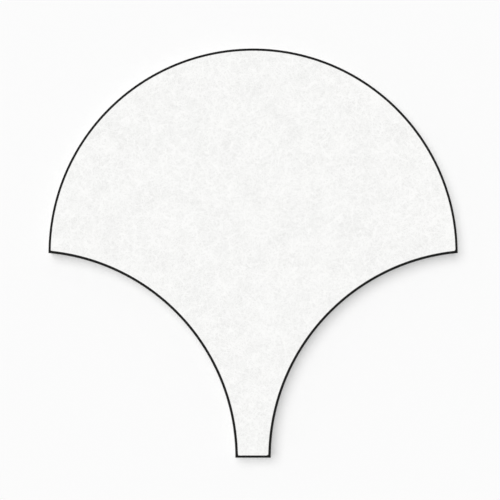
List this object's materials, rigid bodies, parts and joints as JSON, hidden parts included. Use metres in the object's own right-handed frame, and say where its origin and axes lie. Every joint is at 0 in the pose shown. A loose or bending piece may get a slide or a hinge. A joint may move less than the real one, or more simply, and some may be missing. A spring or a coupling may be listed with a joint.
{
  "type": "acoustic wall tile",
  "caption": "Flat scallop-shaped acoustic wall tile in white felt, with a half-round crown, hollow flanks and a short straight foot, glued to a wall in nested rows to absorb sound.",
  "frame": {"origin": "centre of the crown's circle on the back face, which is the middle of the outline's box on the surface the tile lies on", "axes": "+Z out of the face, away from the wall; +Y up the tile, from the foot to the crown; +X across it, to the right seen from the front"},
  "size_m": [0.3, 0.3, 0.012],
  "materials": {
    "white_felt": "matt white needled polyester felt, pressed into board, with a thin dark heat-sealed line round the rim of the face"
  },
  "bodies": {
    "root": {"scallop_tile": "white_felt"}
  },
  "joints": []
}
